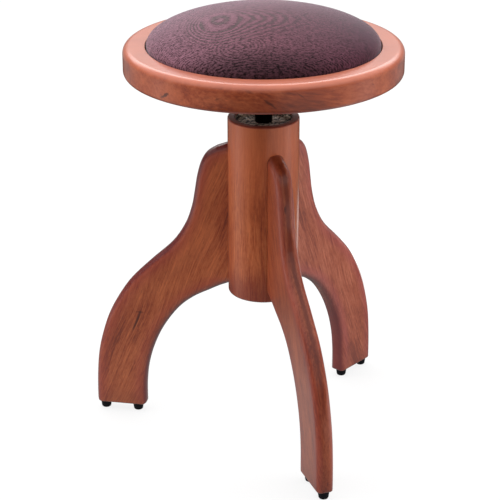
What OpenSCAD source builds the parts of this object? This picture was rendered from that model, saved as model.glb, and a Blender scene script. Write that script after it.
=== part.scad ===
// Revolving piano stool: a round upholstered seat on a screw spindle, a turned column and three curved legs.
// Millimetres. The origin lies on the column's axis at floor level, +Z is up and the front leg points to -Y.
// The seat is drawn at the bottom of its travel, with the spindle's collar just clear of the nut.

/* [Column] */
// Outside diameter of the turned column
column_d = 86; // [80:1:100]
// Height of the column's underside above the floor
column_lift = 182; // [150:1:210]
// Length of the column
column_h = 225; // [205:1:260]
// Rounding of the column's lower edge
column_foot_round = 3; // [2:0.5:6]
// Rounding of the column's upper edges
column_rim_round = 1.5; // [1:0.25:2]
// Diameter of the recess for the nut's flange
recess_d = 68; // [62:1:70]
// Depth from the column's rim to the top of the nut
recess_drop = 6; // [4:0.5:8]
// Diameter of the long bore that guides the spindle
bore_d = 36; // [34:1:38]
// Solid wood left below the bore
bore_floor = 38; // [30:1:45]

/* [Legs] */
// Thickness of each leg plank
leg_t = 21; // [20:0.5:26]
// Distance from the axis to the outside of each foot
leg_reach = 216; // [200:1:240]
// Length of each foot along the leg
foot_l = 65; // [50:1:75]
// Rounding along the long edges of a leg
leg_round = 9; // [5:0.5:9.5]
// Rounding of the edges under a foot
foot_round = 2.5; // [1:0.25:3]
// Depth to which a leg is let into the column
housing_depth = 8; // [6:0.5:9]
// Distance from the column's rim down to the top of a housing
housing_drop = 35; // [25:1:45]
// Distance from the column's underside up to the bottom of a housing
housing_rise = 7; // [6:0.5:14]
// Diameter of the leg dowels
dowel_d = 10; // [8:0.5:12]
// Length of the leg dowels
dowel_l = 38; // [30:1:42]

/* [Feet] */
// Height of a foot pad
pad_h = 10; // [8:0.5:14]
// Diameter of a foot pad at its top
pad_top_d = 14; // [12:0.5:16]
// Diameter of a foot pad where it meets the floor
pad_floor_d = 12; // [9:0.5:13]
// Distance from the outside of the foot to the middle of the outer pad
pad_outer_inset = 10; // [8:0.5:14]
// Distance from the inside of the foot to the middle of the inner pad
pad_inner_inset = 12.5; // [8:0.5:14]

/* [Screw] */
// Rise of the seat for one turn
thread_pitch = 5; // [4.5:0.25:6]
// Outside diameter of the spindle's thread
thread_d = 20; // [19:0.5:21]
// Diameter of the smooth black collar above the nut
collar_d = 21.4; // [21:0.2:25]
// Length of the threaded stretch
thread_l = 105; // [90:1:112]
// Diameter of the journal at the spindle's lower end
journal_d = 12; // [10:0.5:13]
// Thickness of the nut's flange
flange_t = 5; // [4:0.5:6]
// Length of the nut below its flange
nut_barrel_l = 30; // [24:1:36]
// Length of the guide bush
guide_l = 22.5; // [18:0.5:26]

/* [Seat] */
// Outside diameter of the seat ring
seat_d = 330; // [310:2:360]
// Height of the seat ring's underside above the column's rim
seat_gap = 56; // [50:1:65]
// Thickness of the seat ring
ring_h = 33; // [31:0.5:40]
// Rounding of the ring's upper outer edge
ring_top_round = 8; // [5:0.5:10]
// Rounding of the ring's lower outer edge
ring_foot_round = 5; // [3:0.5:8]
// Width of the ring's top, from its outside to the cushion
rim_w = 27; // [20:0.5:36]
// Height of the cushion's crown above the ring
cushion_crown = 40; // [30:1:50]
// Thickness of the board under the ring
seat_board_t = 12; // [10:0.5:14]
// Thickness of the ring's inner web
web_t = 8; // [7:0.5:9]
// Width of the ring's inner web inside the cushion's wall
web_w = 18; // [16:0.5:22]
// Thickness of the cushion's base board
pad_board_t = 9; // [7:0.5:9]
// Thickness of the cushion's cover
cover_t = 1.2; // [0.8:0.1:1.6]
// Diameter of the seat plate
plate_d = 150; // [140:2:180]
// Thickness of the seat plate
plate_t = 5; // [4:0.5:6]
// Diameter of the seat plate's hub
hub_d = 40; // [38:1:46]
// Length of the hub below the plate
hub_l = 18; // [14:1:22]

/* [Hidden] */
$fn = 64;

// Clearances and overruns
// Gap round glued wooden joints, and under seated parts
seat_fit = 0.15;
// Radial clearance of parts that slide or turn in one another
running_fit = 0.06;
// Radial clearance of screws, pins and dowels in their holes
hole_fit = 0.05;
// Clearance between turning faces
face_gap = 0.3;
// Overrun of cutting tools past the faces they cut
cut = 2;

// Counts
legs = 3;
nut_screw_count = 4;
plate_bolt_count = 4;
seat_screw_count = 6;
staple_count = 24;
thread_facets = 20;
edge_steps = 3;
curve_steps = 3;
dome_steps = 24;

// Column levels
column_r = column_d / 2;
column_top = column_lift + column_h;
nut_top = column_top - recess_drop;
flange_z = nut_top - flange_t;
nut_z = flange_z - nut_barrel_l;
bore_z = column_lift + bore_floor;
housing_r = column_r - housing_depth;
housing_top = column_top - housing_drop;
housing_foot = column_lift + housing_rise;
housing_l = housing_top - housing_foot;

// Legs
leg_foot = pad_h;
foot_in_r = leg_reach - foot_l;
pad_outer_r = leg_reach - pad_outer_inset;
pad_inner_r = foot_in_r + pad_inner_inset;
// Flat left between the roundings at a leg's ends in the column
end_flat = 0.6;
end_round = (leg_t - end_flat) / 2;
// Rounding of a leg's edges against the bottom of its housing
seat_round = 0.8;
// Shares of the way from the column to the foot's outside, and from the foot up to the housing's top
outer_curve_shares = [
    [1, 0.04], [0.995, 0.11], [0.98, 0.188], [0.948, 0.26], [0.894, 0.34], [0.817, 0.413],
    [0.716, 0.484], [0.568, 0.557], [0.405, 0.632], [0.31, 0.703], [0.262, 0.768],
    [0.24, 0.823], [0.222, 0.876], [0.199, 0.919], [0.171, 0.949], [0.135, 0.969], [0.079, 0.986]
];
// Shares of the way from the column to the foot's inside, and from the foot up to the housing's foot
inner_curve_shares = [
    [0.102, 0.974], [0.209, 0.94], [0.415, 0.872], [0.595, 0.778], [0.775, 0.625], [0.897, 0.465],
    [0.968, 0.312], [0.995, 0.178], [1, 0.08]
];
// Share of each curve, from the column on, over which the full rounding eases into leg_round
ease_share = 0.12;
// Share of the outer curve, from the housing on, that the leg's flat side meets in one fan
fan_share = 0.3;
// Heights of the dowels, as shares of a housing's length
dowel_height_shares = [0.13, 0.44, 0.76];
// Share of a dowel's length that goes into the leg
dowel_leg_share = 0.64;

// Foot screws
foot_screw_d = 3;
foot_screw_l = 16;
foot_head_d = 6;
foot_head_h = 2;
foot_recess_d = 6.6;
foot_recess_h = 5;

// Thread, as shares of the pitch
thread_depth_share = 0.5;
thread_root_share = 0.37;
thread_flank_share = 0.13;
thread_side_share = 0.04;
thread_radial_gap = 0.3;
thread_r = thread_d / 2;
thread_root_r = thread_r - thread_depth_share * thread_pitch;
thread_runout = 0.8 * thread_pitch;

// Spindle levels
collar_r = collar_d / 2;
collar_z = nut_top + face_gap;
thread_z = collar_z - thread_l;
washer_t = 1.5;
guide_top = thread_z - washer_t - face_gap;
guide_z = guide_top - guide_l;
journal_z = guide_z - face_gap;
// Length by which the journal and the collar reach into the thread's core
core_lap = 1;
end_washer_z = journal_z - washer_t;
washer_d = 26;
end_screw_d = 8;
end_screw_grip = 16;
end_head_d = 13;
end_head_h = 5.3;

// Nut screws
nut_screw_circle = 52;
nut_screw_d = 4.2;
nut_screw_head_d = 8.4;
nut_screw_l = 25;
nut_barrel_d = bore_d - 2 * seat_fit;
flange_d = recess_d - 2 * face_gap;

// Seat levels
seat_r = seat_d / 2;
ring_z = column_top + seat_gap;
web_z = ring_z + seat_board_t;
web_top = web_z + web_t;
ring_top = ring_z + ring_h;
// Diameter of the cushion where it leaves the ring
cushion_d = seat_d - 2 * rim_w;
cushion_r = cushion_d / 2;
// Gap between the cover and the ring's wall
cushion_gap = 0.7;
rebate_r = cushion_r + cushion_gap;
web_in_r = cushion_r - web_w;
board_r = cushion_r - web_w / 5;
ring_lip_round = 1.5;
plate_z = ring_z - plate_t;
hub_z = plate_z - hub_l;

// Seat plate
plate_bolt_circle = 116;
plate_bolt_d = 6;
plate_bolt_l = 20;
plate_head_d = 12;
plate_head_h = 3.4;
plate_rib_t = 6;
plate_rib_share = 0.62;
plate_edge_round = 1.5;
pin_d = 5;
pin_height_share = 0.45;
pin_turn = 45;
tee_barrel_d = 9;
tee_barrel_l = 9;
tee_flange_d = 20;
tee_flange_t = 1.5;

// Screws in the seat
seat_screw_d = 4;
seat_screw_head_d = 8;
seat_screw_r = web_in_r + web_w / 2;
board_screw_l = seat_board_t + web_t - 1.5 * seat_fit;
pad_screw_l = web_t + cover_t + pad_board_t / 2;

// Cushion
pad_board_z = web_top + cover_t + seat_fit;
pad_board_top = pad_board_z + pad_board_t;
pad_board_r = cushion_r - cover_t - seat_fit;
foam_z = pad_board_top + seat_fit;
// How far the hem reaches past the ring's web
hem_l = 10;
hem_r = web_in_r - hem_l;
hem_round = 2;
// How squarely the cushion's dome leaves its rim
dome_power = 1.75;
staple_w = 10;
staple_wire = 1;
staple_leg = 6;
staple_r = web_in_r - hem_l / 2;

// Points on a rounded corner, from angle a0 to a1
function arc(c, r, a0, a1, n = 6) =
    [for (i = [0:n]) c + r * [cos(a0 + (a1 - a0) * i / n), sin(a0 + (a1 - a0) * i / n)]];

// A smooth curve through given points
function blend_point(a, b, c, d, t) =
    (2 * b + (c - a) * t + (2 * a - 5 * b + 4 * c - d) * t * t + (3 * b - a - 3 * c + d) * t * t * t) / 2;
function curve(p, n) = [
    for (i = [0:len(p) - 2], k = [0:n - 1])
        blend_point(p[max(i - 1, 0)], p[i], p[i + 1], p[min(i + 2, len(p) - 1)], k / n),
    p[len(p) - 1]
];

// A round post with a countersunk head below it, pointing up from z = 0
module screw_up(d, head_d, l) {
    cylinder(d = d, h = l);
    cylinder(d1 = head_d, d2 = d, h = (head_d - d) / 2);
}

// The hole that such a screw sits in
module screw_hole(d, head_d, l) {
    translate([0, 0, -cut]) cylinder(d = head_d + 2 * hole_fit, h = cut + 2 * hole_fit);
    translate([0, 0, 2 * hole_fit])
        cylinder(d1 = head_d + 2 * hole_fit, d2 = d + 2 * hole_fit, h = (head_d - d) / 2);
    cylinder(d = d + 2 * hole_fit, h = l + hole_fit);
}

// Copies round the axis
module around(n, r, turn = 0) {
    for (i = [0:n - 1]) rotate([0, 0, turn + 360 * i / n]) translate([r, 0, 0]) children();
}

// A screw thread between z0 and z1, whose turns all lie on one helix; gap widens its ridge on each side
module thread(r_out, r_root, z0, z1, gap = 0) {
    phases = [
        gap, thread_root_share - gap, thread_root_share + thread_flank_share - gap,
        1 - thread_flank_share + gap
    ];
    k0 = floor(z0 / thread_pitch) - 2;
    k1 = ceil(z1 / thread_pitch);
    rows = 4 * (k1 - k0 + 1);
    function level(i, j) = max(z0, min(z1,
        thread_pitch * (k0 + floor(j / 4) + phases[j % 4] + i / thread_facets)));
    function fade(z) = min(1, (z - z0) / thread_runout, (z1 - z) / thread_runout);
    function place(i, j) = let (
        z = level(i, j),
        r = j % 4 < 2 ? r_root : r_root + (r_out - r_root) * fade(z),
        a = 360 * i / thread_facets
    ) [r * cos(a), r * sin(a), z];
    function at(i, j) = i < thread_facets ? i * rows + j : min(j + 4, rows - 1);
    points = [for (i = [0:thread_facets - 1], j = [0:rows - 1]) place(i, j)];
    sides = [
        for (i = [0:thread_facets - 1], j = [0:rows - 2]) let (
            a = at(i, j), b = at(i + 1, j), c = at(i + 1, j + 1), d = at(i, j + 1)
        ) each [
            if (points[b] != points[c]) [a, c, b],
            if (points[a] != points[d]) [a, d, c]
        ]
    ];
    polyhedron(points, concat(
        sides,
        [[for (i = [0:thread_facets - 1]) i * rows]],
        [[for (i = [thread_facets - 1:-1:0]) i * rows + rows - 1]]
    ));
}

// Where a leg's outline runs, as [distance from the axis, height]
outer_curve = curve([for (s = outer_curve_shares)
    [column_r + s[0] * (leg_reach - column_r), leg_foot + s[1] * (housing_top - leg_foot)]], curve_steps);
inner_curve = curve([for (s = inner_curve_shares)
    [column_r + s[0] * (foot_in_r - column_r), leg_foot + s[1] * (housing_foot - leg_foot)]], curve_steps);

// Stations along a leg's edge: [distance, height, inset outwards, inset upwards, rounding]
function stations(p, before, after, near) = [
    for (i = [0:len(p) - 1]) let (
        a = i > 0 ? p[i - 1] : before,
        b = i < len(p) - 1 ? p[i + 1] : after,
        t = (b - a) / norm(b - a),
        share = (near ? i : len(p) - 1 - i) / (len(p) - 1),
        r = end_round + (leg_round - end_round) * min(1, share / ease_share)
    ) [p[i][0], p[i][1], -t[1] * r, t[0] * r, r]
];
foot_inside = [foot_in_r, leg_foot];
foot_outside = [leg_reach, leg_foot];
leg_edge = concat(
    [
        [housing_r, housing_foot, seat_round, end_round, end_round],
        [column_r, housing_foot, 0, end_round, end_round]
    ],
    stations(inner_curve, [column_r, housing_foot], foot_inside, true),
    [
        [foot_in_r, leg_foot, leg_round, foot_round, leg_round],
        [foot_in_r + leg_round, leg_foot, 0, foot_round, foot_round],
        [leg_reach - leg_round, leg_foot, 0, foot_round, foot_round],
        [leg_reach, leg_foot, -leg_round, foot_round, leg_round]
    ],
    stations(outer_curve, foot_outside, [column_r, housing_top], false),
    [
        [column_r, housing_top, 0, -end_round, end_round],
        [housing_r, housing_top, seat_round, -end_round, end_round]
    ]
);

// The flat side of a leg, cut into triangles between the inner and the outer stations
near_n = len(inner_curve) + 4;
far_n = len(leg_edge) - near_n;
function across(j) = let (share = j / (far_n - 1))
    share <= fan_share ? 0 : round((near_n - 1) * (share - fan_share) / (1 - fan_share));
flat_side = [
    for (j = [0:far_n - 2]) let (a = len(leg_edge) - 1 - j) each concat(
        [[a, across(j), a - 1]],
        [for (i = [across(j):1:across(j + 1) - 1]) [a - 1, i, i + 1]]
    )
];

// The plank of a leg, with its edges rounded over, pointing to -Y
module plank() {
    n = len(leg_edge);
    rings = 2 * edge_steps + 2;
    last = (rings - 1) * n;
    points = [
        for (k = [0:rings - 1], s = leg_edge) let (
            a = 90 * (k <= edge_steps ? edge_steps - k : k - edge_steps - 1) / edge_steps,
            side = k <= edge_steps ? -1 : 1
        ) [
            side * (leg_t / 2 - s[4] * (1 - sin(a))),
            -(s[0] + s[2] * (1 - cos(a))),
            s[1] + s[3] * (1 - cos(a))
        ]
    ];
    sides = [
        for (k = [0:rings - 2], i = [0:n - 1]) let (
            a = k * n + i, b = k * n + (i + 1) % n, c = a + n, d = b + n
        ) each [[a, b, d], [a, d, c]]
    ];
    polyhedron(points, concat(
        sides,
        [for (t = flat_side) [t[2], t[1], t[0]]],
        [for (t = flat_side) [last + t[0], last + t[1], last + t[2]]]
    ));
}

// The dowels of one leg, grown by a clearance
module dowels(grow) {
    for (s = dowel_height_shares)
        translate([0, -housing_r + dowel_l * (1 - dowel_leg_share) + grow, housing_foot + s * housing_l])
            rotate([90, 0, 0]) cylinder(d = dowel_d + 2 * grow, h = dowel_l + 2 * grow, $fn = 32);
}

module leg() {
    color("sienna") difference() {
        plank();
        dowels(hole_fit);
        for (r = [pad_outer_r, pad_inner_r])
            translate([0, -r, leg_foot - cut])
                cylinder(d = foot_screw_d + 2 * hole_fit, h = cut + foot_screw_l, $fn = 24);
    }
}

module leg_front() { leg(); }
module leg_left() { rotate([0, 0, -360 / legs]) leg(); }
module leg_right() { rotate([0, 0, 360 / legs]) leg(); }

module leg_dowels() {
    color("burlywood") for (i = [0:legs - 1]) rotate([0, 0, 360 * i / legs]) dowels(0);
}

// The routed housing that takes a leg, with round ends
module housing() {
    w = leg_t + 2 * seat_fit;
    translate([-w / 2, -column_r - cut, housing_foot + leg_t / 2])
        cube([w, housing_depth + cut + seat_fit, housing_l - leg_t]);
    for (z = [housing_foot + leg_t / 2, housing_top - leg_t / 2])
        translate([0, -housing_r + seat_fit, z])
            rotate([90, 0, 0]) cylinder(d = w, h = housing_depth + cut + seat_fit);
}

module column() {
    rim_in_r = recess_d / 2;
    color("sienna") difference() {
        rotate_extrude() polygon(concat(
            [[0, column_lift]],
            arc([column_r - column_foot_round, column_lift + column_foot_round], column_foot_round, -90, 0),
            arc([column_r - column_rim_round, column_top - column_rim_round], column_rim_round, 0, 90),
            arc([rim_in_r + column_rim_round, column_top - column_rim_round], column_rim_round, 90, 180),
            [[rim_in_r, flange_z], [bore_d / 2, flange_z], [bore_d / 2, bore_z], [0, bore_z]]
        ));
        for (i = [0:legs - 1]) rotate([0, 0, 360 * i / legs]) {
            housing();
            dowels(hole_fit);
        }
        translate([0, 0, nut_top]) rotate([180, 0, 0])
            around(nut_screw_count, nut_screw_circle / 2, 180 / nut_screw_count)
                cylinder(d = nut_screw_d + 2 * hole_fit, h = nut_screw_l + hole_fit, $fn = 24);
    }
}

// A foot pad that tapers to the floor, recessed for its screw
module foot_pad(turn, r) {
    color("#1d1b1c") rotate([0, 0, turn]) translate([0, -r, 0]) difference() {
        cylinder(d1 = pad_floor_d, d2 = pad_top_d, h = pad_h, $fn = 32);
        translate([0, 0, -cut]) cylinder(d = foot_recess_d, h = cut + foot_recess_h, $fn = 32);
        cylinder(d = foot_screw_d + 2 * hole_fit, h = pad_h + cut, $fn = 32);
    }
}

module foot_front_outer() { foot_pad(0, pad_outer_r); }
module foot_front_inner() { foot_pad(0, pad_inner_r); }
module foot_left_outer() { foot_pad(-360 / legs, pad_outer_r); }
module foot_left_inner() { foot_pad(-360 / legs, pad_inner_r); }
module foot_right_outer() { foot_pad(360 / legs, pad_outer_r); }
module foot_right_inner() { foot_pad(360 / legs, pad_inner_r); }

module foot_screws() {
    color("silver") for (i = [0:legs - 1], r = [pad_outer_r, pad_inner_r])
        rotate([0, 0, 360 * i / legs]) translate([0, -r, foot_recess_h - foot_head_h]) {
            cylinder(d = foot_head_d, h = foot_head_h, $fn = 24);
            cylinder(d = foot_screw_d, h = foot_screw_l, $fn = 24);
        }
}

module flange_nut() {
    color("#8a8078") difference() {
        union() {
            translate([0, 0, flange_z + hole_fit])
                cylinder(d = flange_d, h = flange_t - hole_fit);
            translate([0, 0, nut_z]) cylinder(d = nut_barrel_d, h = nut_barrel_l + flange_t / 2);
        }
        thread(
            thread_r + thread_radial_gap, thread_root_r + thread_radial_gap,
            nut_z - thread_runout - cut, nut_top + thread_runout + cut, thread_side_share
        );
        translate([0, 0, nut_top]) rotate([180, 0, 0])
            around(nut_screw_count, nut_screw_circle / 2, 180 / nut_screw_count)
                screw_hole(nut_screw_d, nut_screw_head_d, flange_t + cut, $fn = 32);
    }
}

module nut_screws() {
    color("gainsboro") translate([0, 0, nut_top - hole_fit]) rotate([180, 0, 0])
        around(nut_screw_count, nut_screw_circle / 2, 180 / nut_screw_count)
            screw_up(nut_screw_d, nut_screw_head_d, nut_screw_l - hole_fit, $fn = 32);
}

module spindle_guide() {
    color("#d8d2c4") difference() {
        translate([0, 0, guide_z]) cylinder(d = bore_d - 2 * running_fit, h = guide_l);
        translate([0, 0, guide_z - cut]) cylinder(d = journal_d + 2 * running_fit, h = guide_l + 2 * cut);
    }
}

module spindle() {
    color("#161314") difference() {
        union() {
            thread(thread_r, thread_root_r, thread_z, collar_z + core_lap);
            translate([0, 0, collar_z]) cylinder(d = collar_d, h = ring_z - collar_z);
            translate([0, 0, journal_z]) cylinder(d = journal_d, h = thread_z + core_lap - journal_z);
        }
        translate([0, 0, journal_z - cut])
            cylinder(d = end_screw_d + 2 * hole_fit, h = cut + end_screw_grip, $fn = 32);
        translate([0, 0, hub_z + pin_height_share * hub_l]) rotate([0, 90, pin_turn])
            cylinder(d = pin_d + 2 * hole_fit, h = 2 * collar_d, center = true, $fn = 32);
    }
}

// The two steel washers that hold the guide bush on the journal
module guide_washers() {
    color("silver") difference() {
        union() {
            translate([0, 0, guide_top + face_gap]) cylinder(d = washer_d, h = washer_t);
            translate([0, 0, end_washer_z]) cylinder(d = washer_d, h = washer_t);
        }
        translate([0, 0, journal_z + face_gap])
            cylinder(d = journal_d + 2 * seat_fit, h = thread_z - journal_z);
        translate([0, 0, end_washer_z - cut])
            cylinder(d = end_screw_d + 2 * hole_fit, h = 2 * cut + washer_t, $fn = 32);
    }
}

module end_screw() {
    color("silver") translate([0, 0, end_washer_z]) {
        cylinder(d = end_screw_d, h = washer_t + end_screw_grip - hole_fit, $fn = 32);
        translate([0, 0, -end_head_h]) cylinder(d = end_head_d, h = end_head_h, $fn = 6);
    }
}

module seat_plate() {
    rib_out = plate_rib_share * plate_d / 2;
    color("#3a3836") difference() {
        union() {
            rotate_extrude() polygon(concat(
                [[0, hub_z], [hub_d / 2, hub_z], [hub_d / 2, plate_z]],
                arc([plate_d / 2 - plate_edge_round, plate_z + plate_edge_round], plate_edge_round, -90, 0),
                [[plate_d / 2, ring_z], [0, ring_z]]
            ));
            for (i = [0:plate_bolt_count - 1]) rotate([90, 0, 360 * i / plate_bolt_count])
                linear_extrude(plate_rib_t, center = true) polygon([
                    [collar_r + plate_rib_t / 2, plate_z + plate_t / 2],
                    [collar_r + plate_rib_t / 2, hub_z + hub_l / 4],
                    [hub_d / 2, hub_z + hub_l / 4],
                    [rib_out, plate_z],
                    [rib_out, plate_z + plate_t / 2]
                ]);
        }
        translate([0, 0, hub_z - cut])
            cylinder(d = collar_d + 2 * hole_fit, h = hub_l + plate_t + 2 * cut);
        translate([0, 0, hub_z + pin_height_share * hub_l]) rotate([0, 90, pin_turn])
            cylinder(d = pin_d + 2 * hole_fit, h = 2 * hub_d, center = true, $fn = 32);
        translate([0, 0, plate_z - cut])
            around(plate_bolt_count, plate_bolt_circle / 2, 180 / plate_bolt_count)
                cylinder(d = plate_bolt_d + 2 * seat_fit, h = plate_t + 2 * cut, $fn = 32);
    }
}

module spindle_pin() {
    color("silver") translate([0, 0, hub_z + pin_height_share * hub_l]) rotate([0, 90, pin_turn])
        cylinder(d = pin_d, h = hub_d - 2 * hole_fit, center = true, $fn = 32);
}

module plate_bolts() {
    color("silver") translate([0, 0, plate_z])
        around(plate_bolt_count, plate_bolt_circle / 2, 180 / plate_bolt_count) {
            translate([0, 0, -plate_head_h]) cylinder(d = plate_head_d, h = plate_head_h, $fn = 32);
            cylinder(d = plate_bolt_d, h = plate_bolt_l, $fn = 32);
        }
}

module tee_nuts() {
    color("silver") translate([0, 0, web_z])
        around(plate_bolt_count, plate_bolt_circle / 2, 180 / plate_bolt_count) difference() {
            union() {
                cylinder(d = tee_flange_d, h = tee_flange_t, $fn = 32);
                translate([0, 0, -tee_barrel_l])
                    cylinder(d = tee_barrel_d, h = tee_barrel_l + tee_flange_t / 2, $fn = 32);
            }
            translate([0, 0, -tee_barrel_l - cut]) cylinder(
                d = plate_bolt_d + 2 * hole_fit, h = tee_barrel_l + tee_flange_t + 2 * cut, $fn = 32
            );
        }
}

module seat_board() {
    color("burlywood") difference() {
        translate([0, 0, ring_z]) cylinder(r = board_r - seat_fit, h = seat_board_t);
        translate([0, 0, ring_z - cut])
            around(plate_bolt_count, plate_bolt_circle / 2, 180 / plate_bolt_count)
                cylinder(d = tee_barrel_d + 2 * hole_fit, h = seat_board_t + 2 * cut, $fn = 32);
        translate([0, 0, ring_z])
            around(seat_screw_count, seat_screw_r, 180 / seat_screw_count)
                screw_hole(seat_screw_d, seat_screw_head_d, seat_board_t + cut, $fn = 32);
    }
}

module board_screws() {
    color("silver") translate([0, 0, ring_z])
        around(seat_screw_count, seat_screw_r, 180 / seat_screw_count)
            screw_up(seat_screw_d, seat_screw_head_d, board_screw_l, $fn = 32);
}

module seat_ring() {
    color("#a5502f") difference() {
        rotate_extrude($fn = 128) polygon(concat(
            [[board_r, ring_z]],
            arc([seat_r - ring_foot_round, ring_z + ring_foot_round], ring_foot_round, -90, 0),
            arc([seat_r - ring_top_round, ring_top - ring_top_round], ring_top_round, 0, 90, 8),
            arc([rebate_r + ring_lip_round, ring_top - ring_lip_round], ring_lip_round, 90, 180),
            [[rebate_r, web_top], [web_in_r, web_top], [web_in_r, web_z], [board_r, web_z]]
        ));
        translate([0, 0, web_z - cut])
            around(seat_screw_count, seat_screw_r, 180 / seat_screw_count)
                cylinder(d = seat_screw_d + 2 * hole_fit, h = cut + web_t - seat_fit, $fn = 32);
        translate([0, 0, web_z])
            around(seat_screw_count, seat_screw_r)
                screw_hole(seat_screw_d, seat_screw_head_d, web_t + cut, $fn = 32);
    }
}

module pad_screws() {
    color("silver") translate([0, 0, web_z + hole_fit])
        around(seat_screw_count, seat_screw_r)
            screw_up(seat_screw_d, seat_screw_head_d, pad_screw_l, $fn = 32);
}

module pad_board() {
    color("burlywood") difference() {
        translate([0, 0, pad_board_z]) cylinder(r = pad_board_r, h = pad_board_t);
        translate([0, 0, web_z + hole_fit])
            around(seat_screw_count, seat_screw_r)
                cylinder(d = seat_screw_d + 2 * hole_fit, h = pad_screw_l + hole_fit, $fn = 32);
    }
}

// Staples that hold the cover's hem under the base board
module cover_staples() {
    color("silver") translate([0, 0, web_top]) around(staple_count, staple_r) {
        translate([-staple_wire / 2, -staple_w / 2, -staple_wire])
            cube([staple_wire, staple_w, staple_wire]);
        for (y = [-staple_w / 2, staple_w / 2 - staple_wire])
            translate([-staple_wire / 2, y, -staple_wire / 2])
                cube([staple_wire, staple_wire, staple_leg]);
    }
}

// The dome of the cushion, from the crown down to its rim, taken in by a wall
function dome(wall) = [
    for (i = [0:dome_steps]) let (
        s = sin(90 * i / dome_steps),
        rise = (cushion_crown - wall) * sqrt(max(0, 1 - pow(s, dome_power)))
    ) [(cushion_r - wall) * s, ring_top + rise]
];

module pad_foam() {
    color("khaki") rotate_extrude($fn = 96)
        polygon(concat(dome(cover_t + seat_fit), [[cushion_r - cover_t - seat_fit, foam_z], [0, foam_z]]));
}

module pad_cover() {
    inside = dome(cover_t);
    color("#4a2f38") difference() {
        rotate_extrude($fn = 96) polygon(concat(
            dome(0),
            arc([cushion_r - hem_round, web_top + hem_round], hem_round, 0, -90),
            [[hem_r, web_top], [hem_r, web_top + cover_t], [cushion_r - cover_t, web_top + cover_t]],
            [for (i = [dome_steps:-1:0]) inside[i]]
        ));
        translate([0, 0, web_top - cut])
            around(seat_screw_count, seat_screw_r)
                cylinder(d = seat_screw_d + 2 * hole_fit, h = cover_t + 2 * cut, $fn = 32);
    }
}

column();
leg_front();
leg_left();
leg_right();
leg_dowels();
foot_front_outer();
foot_front_inner();
foot_left_outer();
foot_left_inner();
foot_right_outer();
foot_right_inner();
foot_screws();
flange_nut();
nut_screws();
spindle_guide();
spindle();
guide_washers();
end_screw();
seat_plate();
spindle_pin();
plate_bolts();
tee_nuts();
seat_board();
board_screws();
seat_ring();
pad_screws();
pad_board();
cover_staples();
pad_foam();
pad_cover();
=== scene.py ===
import math

import bmesh
import bpy
from bpy.props import FloatProperty, FloatVectorProperty, PointerProperty
from bpy.types import Operator, Panel, PropertyGroup
from mathutils import Matrix, Vector
from mathutils.kdtree import KDTree


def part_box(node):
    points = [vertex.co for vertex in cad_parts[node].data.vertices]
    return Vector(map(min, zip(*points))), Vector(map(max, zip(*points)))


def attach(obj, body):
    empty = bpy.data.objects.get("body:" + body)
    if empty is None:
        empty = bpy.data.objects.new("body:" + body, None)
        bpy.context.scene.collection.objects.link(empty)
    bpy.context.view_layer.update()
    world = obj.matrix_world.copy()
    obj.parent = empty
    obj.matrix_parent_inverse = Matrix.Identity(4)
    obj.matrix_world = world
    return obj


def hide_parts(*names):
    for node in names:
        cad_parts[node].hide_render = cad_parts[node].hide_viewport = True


bl_info = {
    "name": "Revolving piano stool",
    "version": (1, 0, 0),
    "blender": (4, 5, 0),
    "location": "View3D > Sidebar > Stool",
    "description": "Dresses the stool's frame with turned wood, a woven cushion and its metal parts",
    "category": "Object",
}

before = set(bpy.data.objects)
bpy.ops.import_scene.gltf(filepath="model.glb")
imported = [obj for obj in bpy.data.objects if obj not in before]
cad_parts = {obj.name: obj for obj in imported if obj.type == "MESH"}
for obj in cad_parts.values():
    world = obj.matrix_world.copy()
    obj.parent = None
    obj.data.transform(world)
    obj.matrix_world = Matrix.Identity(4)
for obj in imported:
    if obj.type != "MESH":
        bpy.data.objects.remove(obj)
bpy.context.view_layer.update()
MM = 0.001

# What the frame says, in metres
COLUMN_LOW, COLUMN_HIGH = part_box("column")
RING_LOW, RING_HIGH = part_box("seat_ring")
COVER_LOW, COVER_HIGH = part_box("pad_cover")
BOARD_LOW, BOARD_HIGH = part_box("seat_board")
LEG_LOW, LEG_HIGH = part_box("leg_front")
SPINDLE_LOW, SPINDLE_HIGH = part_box("spindle")
NUT_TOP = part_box("flange_nut")[1].z
PLATE_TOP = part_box("seat_plate")[1].z

# Sizes inside the frame's boxes, in metres, and the turn of each leg, in degrees
HOUSING_LOW, HOUSING_HIGH, HOUSING_DEPTH = 189 * MM, 372 * MM, 8 * MM
HOUSING_PLAY = 0.3 * MM
FOOT_LENGTH = 65 * MM
LEG_TURNS = {"leg_front": 0, "leg_left": -120, "leg_right": 120}


# Sizes and colours that a user may change

class WoodSettings(PropertyGroup):
    light: FloatVectorProperty(
        name="Light grain", description="Colour of the palest figure in the stained wood",
        default=(0.440, 0.102, 0.038), subtype="COLOR", min=0, max=1)
    middle: FloatVectorProperty(
        name="Middle grain", description="Main colour of the stained wood",
        default=(0.345, 0.063, 0.0195), subtype="COLOR", min=0, max=1)
    dark: FloatVectorProperty(
        name="Dark grain", description="Colour of the darkest figure in the stained wood",
        default=(0.195, 0.029, 0.0095), subtype="COLOR", min=0, max=1)
    roughness: FloatProperty(
        name="Roughness", description="Roughness of the satin lacquer", default=0.36, min=0.05, max=1,
        subtype="FACTOR")
    lip: FloatProperty(
        name="Housing edge", description="Rounding of the edges where the legs enter the column",
        default=1.0 * MM, min=0.2 * MM, max=1.2 * MM, unit="LENGTH")
    leg_edge: FloatProperty(
        name="Leg edge", description="Rounding along the long edges of the legs",
        default=9 * MM, min=4 * MM, max=9.5 * MM, unit="LENGTH")
    foot_edge: FloatProperty(
        name="Foot edge", description="Rounding round the foot of each leg",
        default=3 * MM, min=1 * MM, max=5 * MM, unit="LENGTH")


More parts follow.
